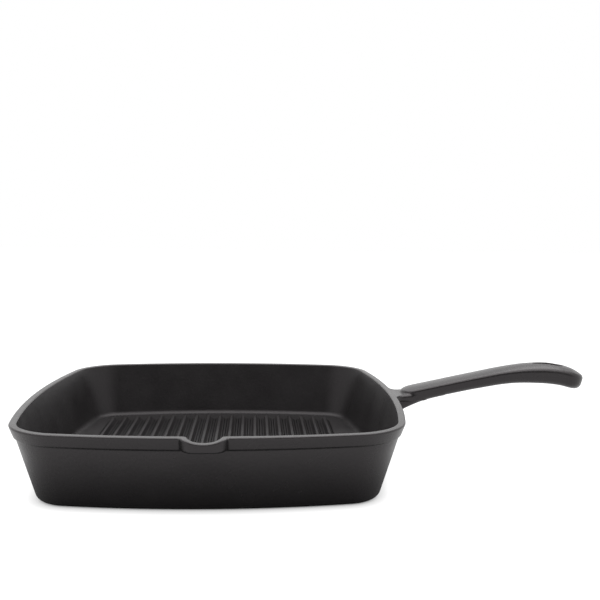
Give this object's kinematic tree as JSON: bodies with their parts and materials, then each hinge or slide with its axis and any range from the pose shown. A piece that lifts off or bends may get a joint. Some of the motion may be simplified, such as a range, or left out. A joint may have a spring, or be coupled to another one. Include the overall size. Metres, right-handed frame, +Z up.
{
  "type": "grill pan",
  "caption": "Square cast iron grill pan with a raised rim band, parallel grill ribs, a pouring lip and a long handle with a teardrop hanging hole.",
  "frame": {"origin": "middle of the bowl on the plane that its foot ring stands on", "axes": "+X along the handle, away from the bowl; -Y towards the pouring lip; +Z up"},
  "size_m": [0.4306, 0.2851, 0.0757],
  "materials": {
    "cast_iron": "seasoned, satin, with a fine sand-cast grain and a lighter ground rim"
  },
  "bodies": {
    "root": {"foot_ring": "cast_iron", "floor_plate": "cast_iron", "side_wall": "cast_iron", "rim_band": "cast_iron", "pour_spout": "cast_iron", "grill_rib_01": "cast_iron", "grill_rib_02": "cast_iron", "grill_rib_03": "cast_iron", "grill_rib_04": "cast_iron", "grill_rib_05": "cast_iron", "grill_rib_06": "cast_iron", "grill_rib_07": "cast_iron", "grill_rib_08": "cast_iron", "grill_rib_09": "cast_iron", "grill_rib_10": "cast_iron", "grill_rib_11": "cast_iron", "grill_rib_12": "cast_iron", "grill_rib_13": "cast_iron", "grill_rib_14": "cast_iron", "grill_rib_15": "cast_iron", "grill_rib_16": "cast_iron", "grill_rib_17": "cast_iron", "grill_rib_18": "cast_iron", "grill_rib_19": "cast_iron", "handle_lug": "cast_iron", "handle_gusset": "cast_iron", "handle_bar": "cast_iron", "hanging_eye": "cast_iron"}
  },
  "joints": []
}
